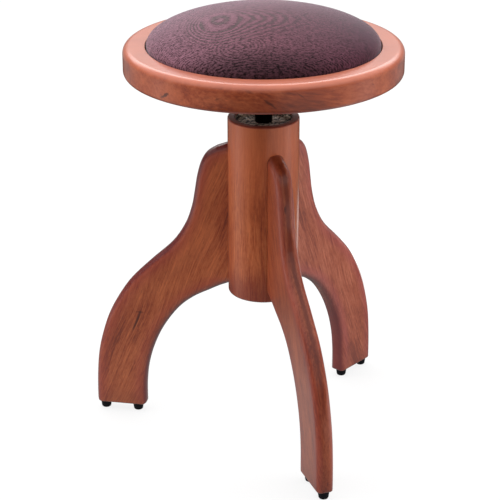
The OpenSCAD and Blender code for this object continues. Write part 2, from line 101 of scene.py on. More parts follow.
class CushionSettings(PropertyGroup):
    thread: FloatVectorProperty(
        name="Thread", description="Colour of the ribs of the cloth",
        default=(0.080, 0.029, 0.041), subtype="COLOR", min=0, max=1)
    shade: FloatVectorProperty(
        name="Between ribs", description="Colour between the ribs of the cloth",
        default=(0.014, 0.003, 0.006), subtype="COLOR", min=0, max=1)
    rib: FloatProperty(
        name="Rib", description="Distance from one rib of the weave to the next",
        default=2.3 * MM, min=0.8 * MM, max=5 * MM, unit="LENGTH")
    swell: FloatProperty(
        name="Swell", description="Most that the cover may move when the cushion is filled",
        default=2.0 * MM, min=0, max=6 * MM, unit="LENGTH")
    tuck: FloatProperty(
        name="Tuck", description="How far the cushion's side stands off the ring",
        default=0.8 * MM, min=0, max=3 * MM, unit="LENGTH")


class MetalSettings(PropertyGroup):
    black: FloatVectorProperty(
        name="Spindle", description="Colour of the blackened spindle",
        default=(0.008, 0.006, 0.008), subtype="COLOR", min=0, max=1)
    cast: FloatVectorProperty(
        name="Nut", description="Colour of the cast nut",
        default=(0.50, 0.41, 0.34), subtype="COLOR", min=0, max=1)
    zinc: FloatVectorProperty(
        name="Screws", description="Colour of the zinc-plated screws",
        default=(0.62, 0.60, 0.56), subtype="COLOR", min=0, max=1)


class StageSettings(PropertyGroup):
    distance: FloatProperty(
        name="Camera distance", description="Distance from the column's axis to the camera, along the floor",
        default=1.96910, min=0.5, max=10, unit="LENGTH")
    height: FloatProperty(
        name="Camera height", description="Height of the camera above the floor",
        default=1.07023, min=0, max=5, unit="LENGTH")
    azimuth: FloatProperty(
        name="Azimuth", description="Angle of the camera round the column, from the front leg",
        default=math.radians(20.17), subtype="ANGLE")
    tilt: FloatProperty(
        name="Tilt", description="Angle at which the camera looks down", default=0.40149, subtype="ANGLE")
    shade: FloatProperty(
        name="Floor shadow", description="Share of the floor's colour that comes from the light on it",
        default=0.2, min=0, max=1, subtype="FACTOR")


# Modelling

def rest():
    """Leaves edit mode and deselects everything."""
    if bpy.context.object and bpy.context.object.mode != "OBJECT":
        bpy.ops.object.mode_set(mode="OBJECT")
    bpy.ops.object.select_all(action="DESELECT")


def choose(piece):
    rest()
    piece.select_set(True)
    bpy.context.view_layer.objects.active = piece


def start(name, at):
    """A new object in edit mode that holds one point."""
    rest()
    bpy.ops.mesh.primitive_plane_add(size=MM, enter_editmode=True, location=(0, 0, 0))
    piece = bpy.context.object
    piece.name = piece.data.name = name
    bpy.ops.mesh.merge(type="CENTER")
    bpy.ops.transform.translate(value=Vector(at))
    return piece


def draw(points):
    """Extrudes the chosen point along a line of points."""
    for a, b in zip(points, points[1:]):
        bpy.ops.mesh.extrude_region_move(TRANSFORM_OT_translate={"value": Vector(b) - Vector(a)})


def face_out(piece):
    """Turns all faces of a piece outwards and ends in object mode, with the piece chosen."""
    bpy.ops.mesh.select_all(action="SELECT")
    bpy.ops.mesh.normals_make_consistent(inside=False)
    choose(piece)


def shade(piece, angle):
    """Shades a piece smoothly, except over edges sharper than an angle in degrees."""
    choose(piece)
    bpy.ops.object.shade_smooth_by_angle(angle=math.radians(angle))


def turned(name, profile, steps=96):
    """A solid turned on the column's axis from a profile of radii and heights, in metres."""
    points = [(r, 0, z) for r, z in profile]
    piece = start(name, points[0])
    draw(points)
    bpy.ops.mesh.select_all(action="SELECT")
    if profile[0][0] > 0:
        bpy.ops.mesh.edge_face_add()
        bpy.ops.mesh.delete(type="ONLY_FACE")
        bpy.ops.mesh.select_all(action="SELECT")
    bpy.ops.mesh.spin(steps=steps, angle=math.tau, center=(0, 0, 0), axis=(0, 0, 1))
    bpy.ops.mesh.select_all(action="SELECT")
    bpy.ops.mesh.remove_doubles(threshold=0.005 * MM)
    face_out(piece)
    bpy.ops.object.shade_smooth()
    return piece


def arc(centre, radius, first, last, steps):
    """Profile points on an arc, from one angle to another, in degrees."""
    turns = [math.radians(first + (last - first) * i / steps) for i in range(steps + 1)]
    return [(centre[0] + radius * math.cos(a), centre[1] + radius * math.sin(a)) for a in turns]


def corner(at, radius, first, hold, steps=6):
    """Profile points round a corner: a quarter circle from the angle first, in degrees, and beside each end
    of it, on the flat, a point that holds the flat's shading."""
    out, on = ((math.cos(a), math.sin(a)) for a in (math.radians(first), math.radians(first + 90)))
    centre = [c - radius * (u + v) for c, u, v in zip(at, out, on)]
    before = [c + radius * u - hold * v for c, u, v in zip(centre, out, on)]
    after = [c + radius * v - hold * u for c, u, v in zip(centre, out, on)]
    return [before, *arc(centre, radius, first, first + 90, steps), after]


def beside(r, z, *steps):
    """Profile points at steps, in millimetres, from a radius and a height."""
    return [(r + dr * MM, z + dz * MM) for dr, dz in steps]


def apply_all(piece):
    choose(piece)
    for modifier in list(piece.modifiers):
        bpy.ops.object.modifier_apply(modifier=modifier.name)


def cut(piece, tool):
    """Cuts the shape of another object out of a piece, and removes that object."""
    modifier = piece.modifiers.new("Cut", "BOOLEAN")
    modifier.operation = "DIFFERENCE"
    modifier.solver = "EXACT"
    modifier.object = tool
    apply_all(piece)
    bpy.data.objects.remove(tool)


def copied(piece, name, turn, shift=(0, 0, 0)):
    """A copy of a piece with its own mesh, moved and then turned about the column's axis, in degrees."""
    choose(piece)
    bpy.ops.object.duplicate()
    other = bpy.context.object
    other.name = other.data.name = name
    other.data.transform(Matrix.Rotation(math.radians(turn), 4, "Z") @ Matrix.Translation(Vector(shift)))
    other.data.update()
    return other


def point_values(piece, *names):
    """The values of attributes on a piece's points. All are made first, as a new one moves the others."""
    for name in names:
        if name not in piece.data.attributes:
            piece.data.attributes.new(name, "FLOAT", "POINT")
    return [piece.data.attributes[name].data for name in names]


def dress(piece, material, body, nodes=()):
    """Gives a piece its material and body, and hides the frame's nodes that it stands for."""
    rest()
    piece.data.materials.clear()
    piece.data.materials.append(material)
    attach(piece, body)
    if nodes:
        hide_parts(*nodes)


def finish_node(node, material):
    """Gives a node of the frame a better material."""
    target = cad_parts[node]
    if not target.material_slots:
        target.data.materials.append(material)
    for held in target.material_slots:
        held.material = material


# Materials

class Nodes:
    """A short hand for a tree of shader nodes."""

    def __init__(self, tree):
        self.tree = tree

    def add(self, kind, sockets=None, **settings):
        node = self.tree.nodes.new("ShaderNode" + kind)
        for key, value in settings.items():
            setattr(node, key, value)
        for key, value in (sockets or {}).items():
            self.put(node.inputs[key], value)
        return node

    def put(self, socket, value):
        if isinstance(value, bpy.types.NodeSocket):
            self.tree.links.new(value, socket)
        else:
            socket.default_value = value

    def math(self, operation, a, b=0.0, c=0.0):
        return self.add("Math", {0: a, 1: b, 2: c}, operation=operation).outputs[0]

    def times(self, a, b, plus=None):
        """The product of two values, and a third value added to it where one is given."""
        return self.math("MULTIPLY", a, b) if plus is None else self.math("MULTIPLY_ADD", a, b, plus)

    def plus(self, a, b):
        return self.math("ADD", a, b)

    def most(self, a, b):
        return self.math("MAXIMUM", a, b)

    def squares(self, a, b):
        """The sum of two squares."""
        return self.times(a, a, self.times(b, b))

    def sine(self, value, length):
        """A sine wave of which one wave has this length."""
        return self.math("SINE", self.times(value, math.tau / length))

    def vector(self, operation, a, b=(0, 0, 0), scale=1.0):
        node = self.add("VectorMath", {0: a, 1: b, 3: scale}, operation=operation)
        return node.outputs["Value" if operation in ("LENGTH", "DOT_PRODUCT") else "Vector"]

    def axes(self, vector):
        return tuple(self.add("SeparateXYZ", {0: vector}).outputs)

    def mapped(self, vector, **sockets):
        return self.add("Mapping", {"Vector": vector, **sockets}).outputs[0]

    def noise(self, vector, scale, detail=2.0, roughness=0.5, distortion=0.0, output="Fac"):
        """Noise with one scale, or with one for each axis."""
        scales = scale if isinstance(scale, tuple) else (scale, scale, scale)
        return self.add("TexNoise", {
            "Vector": self.mapped(vector, Scale=scales), "Scale": 1.0, "Detail": detail,
            "Roughness": roughness, "Distortion": distortion,
        }).outputs[output]

    def span(self, value, low, high, to_low=0.0, to_high=1.0, smooth=True):
        return self.add("MapRange", {
            "Value": value, "From Min": low, "From Max": high, "To Min": to_low, "To Max": to_high,
        }, interpolation_type="SMOOTHSTEP" if smooth else "LINEAR").outputs[0]

    def between(self, factor, a, b):
        """A number between two others."""
        return self.add("Mix", {0: factor, 2: a, 3: b}, data_type="FLOAT").outputs[0]

    def mix(self, factor, a, b):
        """A colour between two others."""
        node = self.add("Mix", data_type="RGBA", clamp_factor=True)
        for socket, value in ((node.inputs[0], factor), (node.inputs[6], a), (node.inputs[7], b)):
            if not isinstance(value, bpy.types.NodeSocket) and hasattr(value, "__len__"):
                value = (*value, 1.0)[:4]
            self.put(socket, value)
        return node.outputs[2]

    def ramp(self, value, stops):
        node = self.add("ValToRGB", {"Fac": value})
        while len(node.color_ramp.elements) < len(stops):
            node.color_ramp.elements.new(0.5)
        for element, (place, colour) in zip(node.color_ramp.elements, stops):
            element.position = place
            element.color = (*colour, 1.0)[:4]
        return node.outputs["Color"]

    def surface(self, colour, roughness, relief, others=()):
        """Fills the main shader: its colour, its roughness, a relief of height, strength and depth in
        millimetres, and any other sockets by name."""
        height, strength, depth = relief
        bump = self.add("Bump", {"Height": height, "Strength": strength, "Distance": depth * MM})
        shader = self.tree.nodes["Principled BSDF"]
        main = (("Base Color", colour), ("Roughness", roughness), ("Normal", bump.outputs[0]))
        for name, value in (*main, *others):
            self.put(shader.inputs[name], value)


def new_material(name):
    """A material, its nodes and the place on the piece, which its patterns follow."""
    material = bpy.data.materials.new(name)
    material.use_nodes = True
    nodes = Nodes(material.node_tree)
    return material, nodes, nodes.add("TexCoord").outputs["Object"]


def scaled(colour, share):
    """A darker or lighter colour."""
    return [min(1.0, share * c) for c in colour]


def stained_wood(name, turn=0, tilt=(0, 0, 0), shift=(0, 0, 0), tone=(1, 1, 1), bold=1.0, speck=1.0,
                 marks=(), shades=(), edge=None):
    """Red-brown stained wood under satin lacquer, with angles in degrees.

    turn brings a leg round to the front. tilt and shift lay the grain, which runs along Z. tone multiplies
    the colours as painted light and shade on the whole piece, bold is the strength of the broad figure and
    speck that of the fine one. A mark is a dark fleck: its centre and half sizes in millimetres, its turn and
    its strength. A shade is a band of colour with height, mostly painted light and shade: where it starts
    and ends, in millimetres, its strength and its colour. edge is the colour of the painted shade that a
    point attribute brings to a piece's edges, beside the red of its attribute "blush"."""
    wood = bpy.context.scene.stool_wood
    material, nodes, place = new_material(name)
    own = nodes.mapped(place, Rotation=(0, 0, -math.radians(turn))) if turn else place
    wave = nodes.noise(own, (11, 11, 7), 1.0, output="Color")
    sway = nodes.vector("SCALE", nodes.vector("SUBTRACT", wave, (0.5, 0.5, 0.5)), scale=16 * MM)
    swayed = nodes.vector("ADD", own, sway)
    grain = nodes.mapped(nodes.mapped(swayed, Rotation=[math.radians(a) for a in tilt]), Location=shift)
    pores = nodes.noise(grain, (1500, 1500, 90), 3, 0.6)
    fine = nodes.noise(grain, (640, 640, 34), 3, 0.6)
    line = nodes.noise(grain, (330, 330, 8))
    streak = nodes.noise(grain, (130, 130, 5))
    figure = nodes.noise(grain, (46, 46, 3.2), distortion=0.5)
    mottle = nodes.noise(grain, (420, 420, 170), 3, 0.6)
    cloud = nodes.noise(grain, (22, 22, 11))
    parts = ((pores, 0.2 * speck), (fine, 0.62 * speck), (line, 0.36), (streak, 0.28), (figure, 0.42 * bold),
             (mottle, 0.26 * speck), (cloud, 0.55 * bold))
    value = 0.5 - 0.5 * sum(share for part, share in parts)
    for part, share in parts:
        value = nodes.times(part, share, value)

    def toned(colour, share=1.0):
        return [min(1.0, share * c * t) for c, t in zip(colour, tone)]
    colour = nodes.ramp(value, [
        (0.26, toned(wood.dark)), (0.45, toned(wood.middle)), (0.62, toned(wood.light)),
        (0.85, toned(wood.light, 1.3))])
    deep = scaled(wood.dark, 0.30)
    dash = nodes.span(nodes.noise(grain, (760, 760, 80), 1), 0.62, 0.74)
    colour = nodes.mix(nodes.times(dash, 0.34), colour, (0.10, 0.026, 0.010))
    fleck = nodes.span(nodes.noise(grain, (170, 170, 30), 2, 0.6), 0.69, 0.80)
    colour = nodes.mix(nodes.times(fleck, 0.4), colour, deep)
    if edge:
        blush = nodes.add("Attribute", attribute_name="blush").outputs["Fac"]
        blush = nodes.times(blush, nodes.times(cloud, 0.9, -0.05))
        colour = nodes.mix(blush, colour, toned((0.34, 0.048, 0.038)))
    for centre, size, lean, strength in marks:
        spot = nodes.add("Mapping", {
            "Vector": own, "Location": [c * MM for c in centre], "Rotation": [math.radians(a) for a in lean],
            "Scale": [s * MM for s in size],
        }, vector_type="TEXTURE").outputs[0]
        ragged = nodes.plus(nodes.vector("LENGTH", spot), nodes.times(line, 1.1, -0.55))
        inside = nodes.span(ragged, 0.3, 1.0, 1.0, 0.0)
        colour = nodes.mix(nodes.times(inside, strength), colour, deep)
    height = nodes.axes(own)[2]
    # Bands of colour with height: mostly painted light and shade, and plain wood again where one ends
    for first, last, strength, tint in shades:
        ends = (0.0, strength) if last > first else (strength, 0.0)
        band = nodes.span(height, min(first, last) * MM, max(first, last) * MM, *ends)
        colour = nodes.mix(band, colour, tint)
    # Painted shade along the piece's edges, as strong as its point attribute asks
    if edge:
        colour = nodes.mix(nodes.add("Attribute", attribute_name="painted_shade").outputs["Fac"], colour, edge)
    relief = nodes.times(pores, 0.5, nodes.times(dash, -0.6))
    nodes.surface(colour, nodes.times(fine, 0.10, wood.roughness - 0.05), (relief, 0.15, 0.25), (
        ("Coat Weight", 1.0), ("Coat Roughness", 0.22), ("Sheen Weight", 0.03), ("Sheen Roughness", 0.35),
        ("Sheen Tint", (1.0, 0.84, 0.80, 1.0))))
    return material


def plain_wood(name, colour, scale):
    """Unfinished plywood or dowel wood, with the scale of its grain along each axis."""
    material, nodes, place = new_material(name)
    grain = nodes.noise(place, scale, 3, 0.6)
    cloud = nodes.noise(place, (9, 22, 22))
    tone = nodes.times(grain, 0.6, nodes.times(cloud, 0.5))
    paint = nodes.ramp(tone, [(0.25, scaled(colour, 0.45)), (0.55, colour), (0.85, scaled(colour, 1.35))])
    nodes.surface(paint, nodes.times(grain, 0.2, 0.6), (grain, 0.2, 0.2))
    return material


def metal(name, colour, roughness, wear=0.3, grit=0.0):
    """Metal with fine scratches, blotches and, where it is cast, a gritty skin."""
    material, nodes, place = new_material(name)
    blotch = nodes.noise(place, 90, 4, 0.65)
    fine = nodes.noise(place, 1400, 3, 0.6)
    tone = nodes.times(fine, 0.5, nodes.times(blotch, 0.5))
    paint = nodes.ramp(tone, [
        (0.32, scaled(colour, 1 - wear)), (0.52, colour), (0.72, scaled(colour, 1 + 1.4 * wear))])
    height = nodes.times(fine, 0.4, nodes.times(blotch, grit))
    nodes.surface(paint, nodes.times(blotch, 0.3, roughness - 0.15), (height, 0.15 + 0.5 * grit, 0.3),
                  (("Metallic", 1.0),))
    return material


def speckled(name, colour):
    """Rough cast metal, mottled dark and bright."""
    material, nodes, place = new_material(name)
    spots = nodes.noise(place, 300, 2, 0.7)
    blotch = nodes.noise(place, 190, 3, 0.6)
    tone = nodes.times(spots, 0.7, nodes.times(blotch, 0.3))
    paint = nodes.ramp(tone, [(0.43, scaled(colour, 0.03)), (0.50, colour), (0.56, scaled(colour, 1.9))])
    nodes.surface(paint, nodes.times(blotch, 0.4, 0.25), (tone, 0.8, 0.7), (("Metallic", 0.45),))
    return material


def rubber(name):
    """Black rubber, a little dusty."""
    material, nodes, place = new_material(name)
    fine = nodes.noise(place, 1600, 3, 0.6)
    dust = nodes.noise(place, (160, 160, 260), 3, 0.6)
    tone = nodes.times(fine, 0.3, nodes.times(dust, 0.7))
    paint = nodes.ramp(tone, [
        (0.3, (0.003, 0.003, 0.004)), (0.6, (0.006, 0.006, 0.009)), (0.8, (0.020, 0.019, 0.024))])
    nodes.surface(paint, nodes.times(dust, 0.3, 0.40), (fine, 0.12, 0.1), (("Specular IOR Level", 0.2),))
    return material


def plastic(name, colour):
    """Moulded plastic, a little cloudy."""
    material, nodes, place = new_material(name)
    cloud = nodes.noise(place, 120, 3, 0.6)
    fine = nodes.noise(place, (900, 900, 60), 3, 0.6)
    paint = nodes.ramp(cloud, [(0.3, scaled(colour, 0.8)), (0.7, colour)])
    nodes.surface(paint, nodes.times(cloud, 0.2, 0.35), (fine, 0.1, 0.1), (("Subsurface Weight", 0.05),))
    return material


def foam(name):
    """Open-celled cushion foam."""
    material, nodes, place = new_material(name)
    cells = nodes.add("TexVoronoi", {"Vector": place, "Scale": 900.0}).outputs["Distance"]
    paint = nodes.ramp(cells, [(0.0, (0.35, 0.29, 0.15)), (0.6, (0.72, 0.64, 0.42))])
    nodes.surface(paint, 0.95, (cells, 0.5, 0.5))
    return material


# Watered figures in the cloth, in metres: centre, half sizes of the heart, width of one ring to the left and
# to the right, and that along y, then the number of rings that show and their strength
WATERED = (
    ((-0.0500, -0.0290), (0.0230, 0.0340), (0.0036, 0.0130), 0.0056, 8, 0.25),
    ((-0.0270, -0.1000), (0.0100, 0.0080), (0.0045, 0.0045), 0.0036, 9, -0.16))


def watered(nodes, x, y, cloud):
    """The cloth's watered figures: rings that start at a heart, wander with the clouds and fade."""
    water = 0.0
    for centre, heart, (left, right), deep, count, strength in WATERED:
        dx, dy = (nodes.plus(value, -at) for value, at in zip((x, y), centre))
        out = nodes.math("SQRT", nodes.squares(nodes.times(dx, 1 / heart[0]), nodes.times(dy, 1 / heart[1])))
        share = nodes.most(nodes.math("SUBTRACT", 1.0, nodes.math("DIVIDE", 1.0, out)), 0.0)
        core = nodes.most(nodes.math("SUBTRACT", 1.0, out), 0.0)
        rings_x = nodes.plus(nodes.times(nodes.most(dx, 0.0), 1 / right),
                             nodes.times(nodes.math("MINIMUM", dx, 0.0), 1 / left))
        reach = nodes.math("SQRT", nodes.squares(rings_x, nodes.times(dy, 1 / deep)))
        reach = nodes.times(reach, share)
        wander = nodes.times(nodes.plus(cloud, -0.5), 1.2, reach)
        rings = nodes.math("COSINE", nodes.times(nodes.times(core, 1.5, wander), math.tau))
        fade = nodes.span(reach, 0.3 * count, 1.1 * count, strength, 0.0)
        water = nodes.times(rings, fade, water)
    return water


def ribbed_cloth(name):
    """Plum-brown ribbed cloth with a watered sheen. The ribs run across the photograph's view."""
    cushion = bpy.context.scene.stool_cushion
    material, nodes, place = new_material(name)
    own = nodes.mapped(place, Rotation=(0, 0, bpy.context.scene.stool_stage.azimuth))
    x, y = nodes.axes(own)[:2]
    across = nodes.times(nodes.noise(own, 30), 1.2 * MM, y)
    rib = nodes.sine(across, cushion.rib)
    yarn = nodes.times(nodes.sine(x, 0.62 * cushion.rib), nodes.sine(across, 2 * cushion.rib))
    weave = nodes.times(rib, 0.22, nodes.times(yarn, 0.28, 0.5))
    fuzz = nodes.noise(own, (400, 780, 780), 3, 0.8)
    slub = nodes.noise(own, (210, 640, 210), 3, 0.7)
    cloud = nodes.noise(own, (14, 20, 14))
    water = watered(nodes, x, y, cloud)
    tone = nodes.times(weave, 0.50, -1.95)
    for part, share in ((fuzz, 2.5), (slub, 2.1), (cloud, 0.16), (water, -0.8)):
        tone = nodes.times(part, share, tone)
    colour = nodes.ramp(nodes.span(tone, 0.30, 0.90, smooth=False), [
        (0.0, cushion.shade), (0.5, cushion.thread), (1.0, scaled(cushion.thread, 2.1))])
    colour = nodes.mix(nodes.span(water, 0.05, 0.35, 0.0, 0.55), colour, (0.060, 0.045, 0.041))
    # Painted light: a painted sheen makes the cloth lighter and greyer on the left and darker on the right,
    # and painted shade darkens the cushion's front edge
    painted_sheen = nodes.ramp(nodes.span(x, -0.12, 0.12, smooth=False), [
        (0.0, (1.60, 2.10, 1.95)), (0.5, (1.08, 1.12, 1.08)), (1.0, (0.50, 0.38, 0.47))])
    painted_front_shade = nodes.span(y, -0.14, -0.09, 0.34, 1.0)
    colour = nodes.vector("SCALE", nodes.vector("MULTIPLY", colour, painted_sheen), scale=painted_front_shade)
    nodes.surface(colour, nodes.times(fuzz, 0.15, 0.72), (nodes.times(fuzz, 0.25, weave), 0.4, 0.5), (
        ("Specular IOR Level", 0.10), ("Sheen Weight", 0.45), ("Sheen Roughness", 0.34),
        ("Sheen Tint", (1.0, 0.86, 0.95, 1.0))))
    return material


# Pieces

class STOOL_OT_column(Operator):
    """Turn the column, with its recess and the three housings for the legs"""
    bl_idname = "stool.column"
    bl_label = "Column"

    def execute(self, context):
        wood = context.scene.stool_wood
        r, low, top = COLUMN_HIGH.x, COLUMN_LOW.z, COLUMN_HIGH.z
        recess, bore, bore_low = 34 * MM, 18 * MM, 220 * MM
        foot, rim, hold, flange = 3 * MM, 1.5 * MM, 0.6 * MM, 5 * MM
        floor = NUT_TOP - flange
        column = turned("turned_column", [
            (0, low), *corner((r, low), foot, -90, hold, 8), *corner((r, top), rim, 0, hold),
            *corner((recess, top), rim, 90, hold), (recess, floor), (bore, floor), (bore, bore_low),
            (0, bore_low)], 108)
        half = (LEG_HIGH.x - LEG_LOW.x + HOUSING_PLAY) / 2
        for turn in LEG_TURNS.values():
            cut(column, self.housing(r, half, turn))
        self.round_lips(column, r, half, wood.lip)
        shade(column, 50)
        # Painted shade in the gap round each housing: the column darkens beside the lip where a leg goes in
        painted_shade = point_values(column, "painted_shade", "blush")[0]
        for v in column.data.vertices:
            deep = r - math.hypot(v.co.x, v.co.y)
            housed = HOUSING_LOW - 1.2 * MM < v.co.z < HOUSING_HIGH + 1.2 * MM
            painted_shade[v.index].value = 0.8 if housed and 0.25 * MM < deep < 9 * MM else 0.0
        # Painted light makes the column's top paler under the seat, painted shade darkens its rim and its
        # foot, and its bottom face is plain wood again. tone lightens the whole column as painted light, and
        # edge is the painted shade's colour.
        shades = ((290, 385, 0.65, (0.60, 0.135, 0.045)), (404.6, 406.2, 0.85, (0.200, 0.024, 0.012)),
                  (240, 186, 0.6, (0.150, 0.013, 0.013)), (182.6, 182.1, 0.7, wood.middle))
        dress(column, stained_wood(
            "stained wood, column", shift=(0.013, 0.021, 0.3), tone=(1.13, 1.24, 1.06), bold=0.9, speck=1.25,
            shades=shades, edge=(0.110, 0.009, 0.006)), "base", ["column"])
        return {"FINISHED"}

    def housing(self, r, half, turn):
        """A tool with round ends, as wide as a leg, that cuts one housing."""
        back = HOUSING_DEPTH + HOUSING_PLAY / 2 - r
        ends = ((HOUSING_HIGH - half, 180), (HOUSING_LOW + half, 0))
        points = [(x, back, z) for end, first in ends for x, z in arc((0, end), half, first, first - 180, 24)]
        tool = start("housing", points[0])
        draw(points)
        bpy.ops.mesh.select_all(action="SELECT")
        bpy.ops.mesh.remove_doubles(threshold=0.001 * MM)
        bpy.ops.mesh.edge_face_add()
        bpy.ops.mesh.extrude_region_move(TRANSFORM_OT_translate={"value": (0, -20 * MM, 0)})
        face_out(tool)
        tool.data.transform(Matrix.Rotation(math.radians(turn), 4, "Z"))
        return tool

    def round_lips(self, column, r, half, lip):
        """Rounds the edges where the housings open on the column's outside."""
        choose(column)
        bpy.ops.object.mode_set(mode="EDIT")
        bpy.ops.mesh.select_all(action="DESELECT")
        bpy.ops.mesh.select_mode(type="EDGE")
        mesh = bmesh.from_edit_mesh(column.data)
        for edge in mesh.edges:
            edge.select = all(self.on_lip(v.co, r, half) for v in edge.verts)
        bmesh.update_edit_mesh(column.data)
        bpy.ops.mesh.bevel(offset=lip, segments=4, profile=0.5, clamp_overlap=True)
        bpy.ops.mesh.select_mode(type="VERT")

    def on_lip(self, co, r, half):
        """Whether a point lies on the column's outside, on the outline of a housing."""
        if abs(math.hypot(co.x, co.y) - r) > 0.3 * MM:
            return False
        for turn in LEG_TURNS.values():
            p = Matrix.Rotation(-math.radians(turn), 3, "Z") @ co
            if p.y > 0 or abs(p.x) > half + 0.05 * MM:
                continue
            z = min(max(p.z, HOUSING_LOW + half), HOUSING_HIGH - half)
            if abs(math.hypot(p.x, p.z - z) - half) < 0.08 * MM:
                return True
        return False


# Outline of a leg: shares of the way from the column to the foot, and from the foot up to the housing's end
OUTER_SHARES = (
    (1, 0.04), (0.995, 0.11), (0.98, 0.188), (0.948, 0.26), (0.894, 0.34), (0.817, 0.413), (0.716, 0.484),
    (0.568, 0.557), (0.405, 0.632), (0.31, 0.703), (0.262, 0.768), (0.24, 0.823), (0.222, 0.876),
    (0.199, 0.919), (0.171, 0.949), (0.135, 0.969), (0.079, 0.986))
INNER_SHARES = (
    (0.102, 0.974), (0.209, 0.94), (0.415, 0.872), (0.595, 0.778), (0.775, 0.625), (0.897, 0.465),
    (0.968, 0.312), (0.995, 0.178), (1, 0.08))

# Look of each leg: tone, as painted light and shade, colour of the painted shade on its edges, marks, and
# that painted shade: half width of the dark line on the outer edge in millimetres, the strength beside that
# line and the strength on the inner edge
GRAIN_LEAN = 21
LEG_LOOKS = {
    "leg_front": ((0.84, 0.81, 0.77), (0.115, 0.012, 0.004), (
        ((-3, -83, 318), (2, 7, 6), (0, 0, 0), 0.9),
    ), (1.0, 0.25, 0.45)),
    "leg_left": ((1.06, 1.14, 1.0), (0.092, 0.005, 0.011), (
        ((10.5, -160, 129), (4, 2.3, 20), (-GRAIN_LEAN, 0, 0), 0.8),
        ((10.5, -155.5, 142.5), (4, 6.5, 1.8), (0, 0, 0), 0.6),
    ), (8.2, 0.0, 0.85)),
    # The right leg's pale, blue-leaning tone is a painted reflection
    "leg_right": ((1.05, 1.3, 1.9), (0.210, 0.022, 0.024), (), (5, 0.0, 0.15)),
}


def smooth_line(points, steps):
    """A smooth curve through points."""
    line = []
    for i in range(len(points) - 1):
        a, b, c, d = (Vector(points[min(max(k, 0), len(points) - 1)]) for k in (i - 1, i, i + 1, i + 2))
        for k in range(steps):
            t = k / steps
            line.append((2 * b + (c - a) * t + (2 * a - 5 * b + 4 * c - d) * t * t
                         + (3 * b - a - 3 * c + d) * t ** 3) / 2)
    return line + [Vector(points[-1])]


def ease(value, low, high):
    """A smooth step from nought to one."""
    share = min(1.0, max(0.0, (value - low) / (high - low)))
    return share * share * (3 - 2 * share)


